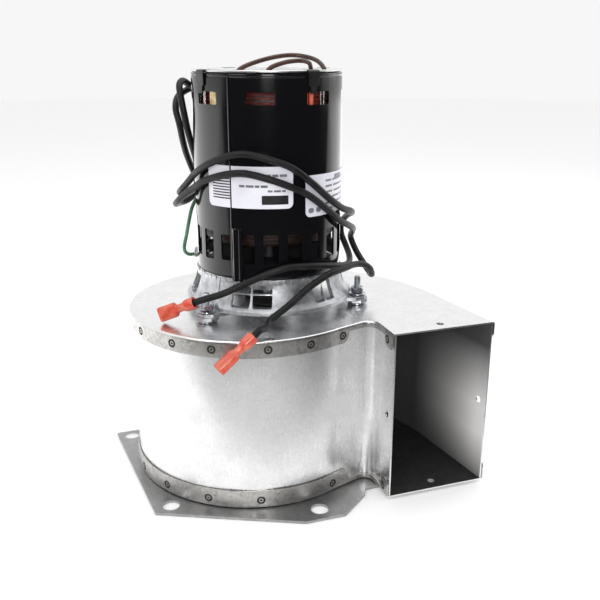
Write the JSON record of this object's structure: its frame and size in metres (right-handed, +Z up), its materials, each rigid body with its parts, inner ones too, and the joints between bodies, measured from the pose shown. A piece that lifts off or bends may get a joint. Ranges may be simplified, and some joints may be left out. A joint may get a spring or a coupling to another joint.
{
  "type": "combustion fan",
  "caption": "Vertical electric motor on a cast adapter driving a blower wheel inside a spiral sheet-metal housing with a rectangular side outlet and a mounting plate below.",
  "frame": {"origin": "bottom centre of the bounding box without the free leads, on the mounting plate's underside", "axes": "+Z up along the motor shaft, -Y out of the rectangular outlet, +X towards the outlet duct's side"},
  "size_m": [0.2, 0.1664, 0.2432],
  "materials": {
    "housing_steel": "bright coated sheet steel, lightly brushed and stained",
    "plate_steel": "dark mill-finish sheet steel",
    "zinc": "bright zinc plate",
    "cast_aluminium": "as-cast, slightly grainy",
    "shell_black": "gloss black enamel",
    "laminations": "stacked dark sheet edges",
    "copper_wire": "enamelled copper wire, varnished",
    "shaft_steel": "ground steel",
    "bronze": "sintered bronze",
    "label_white": null,
    "lead_black": "matte black insulation",
    "lead_brown": "dark brown insulation",
    "lead_green": "green insulation",
    "terminal_red": "slightly translucent red nylon",
    "black_rubber": "matte rubber",
    "plastic": "dark moulded plastic"
  },
  "bodies": {
    "housing_and_motor": {"scroll_wrap": "housing_steel", "top_plate": "housing_steel", "bottom_plate": "housing_steel", "inlet_ring": "housing_steel", "mounting_plate": "plate_steel", "upper_end_shield": "plate_steel", "ground_screw": "zinc", "ground_ring": "zinc", "terminal_tab_1": "zinc", "terminal_tab_2": "zinc", "mount_stud_1": "zinc", "mount_stud_2": "zinc", "mount_stud_3": "zinc", "stud_spacer_1": "zinc", "stud_spacer_2": "zinc", "stud_spacer_3": "zinc", "stud_washer_1": "zinc", "stud_washer_2": "zinc", "stud_washer_3": "zinc", "stud_nut_1": "zinc", "stud_nut_2": "zinc", "stud_nut_3": "zinc", "motor_adapter": "cast_aluminium", "motor_shell": "shell_black", "stator_core": "laminations", "upper_windings": "copper_wire", "lower_windings": "copper_wire", "upper_bearing": "bronze", "lower_bearing": "bronze", "code_label": "label_white", "rating_label": "label_white", "black_lead_1": "lead_black", "black_lead_2": "lead_black", "brown_lead_1": "lead_brown", "brown_lead_2": "lead_brown", "ground_wire": "lead_green", "terminal_sleeve_1": "terminal_red", "terminal_sleeve_2": "terminal_red", "lead_grommet": "black_rubber", "shaft_seal": "black_rubber", "thermal_protector": "plastic"},
    "rotor": {"motor_shaft": "shaft_steel", "rotor_core": "laminations", "cooling_fan": "plastic", "impeller_blades": "housing_steel", "impeller_disc": "housing_steel", "impeller_hub": "cast_aluminium", "hub_set_screw": "zinc"}
  },
  "joints": [
    {"name": "impeller_spin", "type": "hinge", "parent": "housing_and_motor", "child": "rotor", "pos_m": [-0.00605, 0.00604, 0.1], "axis": [0, 0, 1], "continuous": true}
  ]
}
